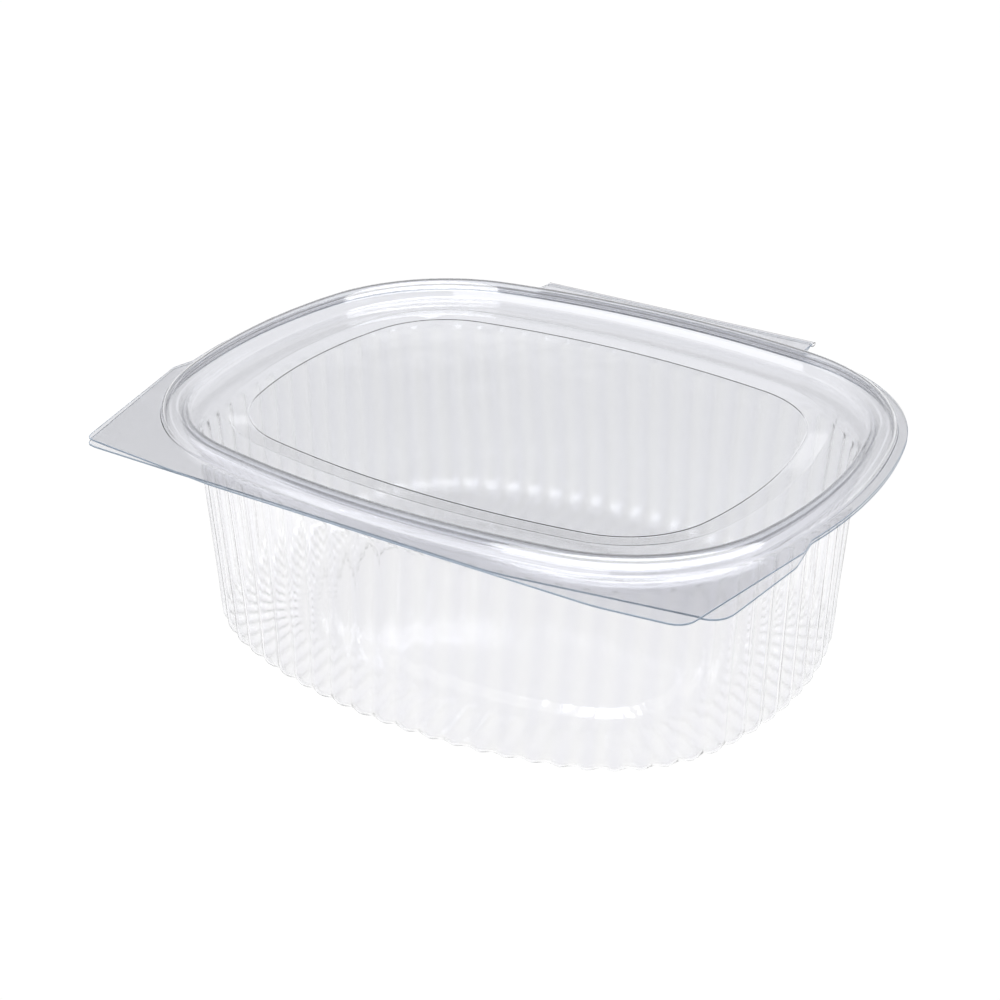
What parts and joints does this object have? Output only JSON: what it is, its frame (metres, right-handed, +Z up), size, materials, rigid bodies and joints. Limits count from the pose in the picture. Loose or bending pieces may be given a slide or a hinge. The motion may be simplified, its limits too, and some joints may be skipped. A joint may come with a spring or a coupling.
{
  "type": "takeaway meal container",
  "caption": "Clear hinged takeaway meal container: a fluted oval tub with a raised rim and a shut lid that presses onto it, joined by a living hinge along one long side.",
  "frame": {"origin": "under the middle of the whole outline, on the surface that the tub stands on", "axes": "+X along the length, +Y towards the hinge at the back, +Z up"},
  "size_m": [0.19, 0.1604, 0.0649],
  "materials": {
    "clear_plastic": "clear thermoformed sheet",
    "clear_lid_plastic": "clear thermoformed sheet"
  },
  "bodies": {
    "tub": {"tub": "clear_plastic"},
    "lid": {"lid": "clear_lid_plastic"}
  },
  "joints": [
    {"name": "lid_hinge", "type": "hinge", "parent": "tub", "child": "lid", "pos_m": [0, 0.07942, 0.06118], "axis": [-1, 0, 0], "range_deg": [0, 180]}
  ]
}
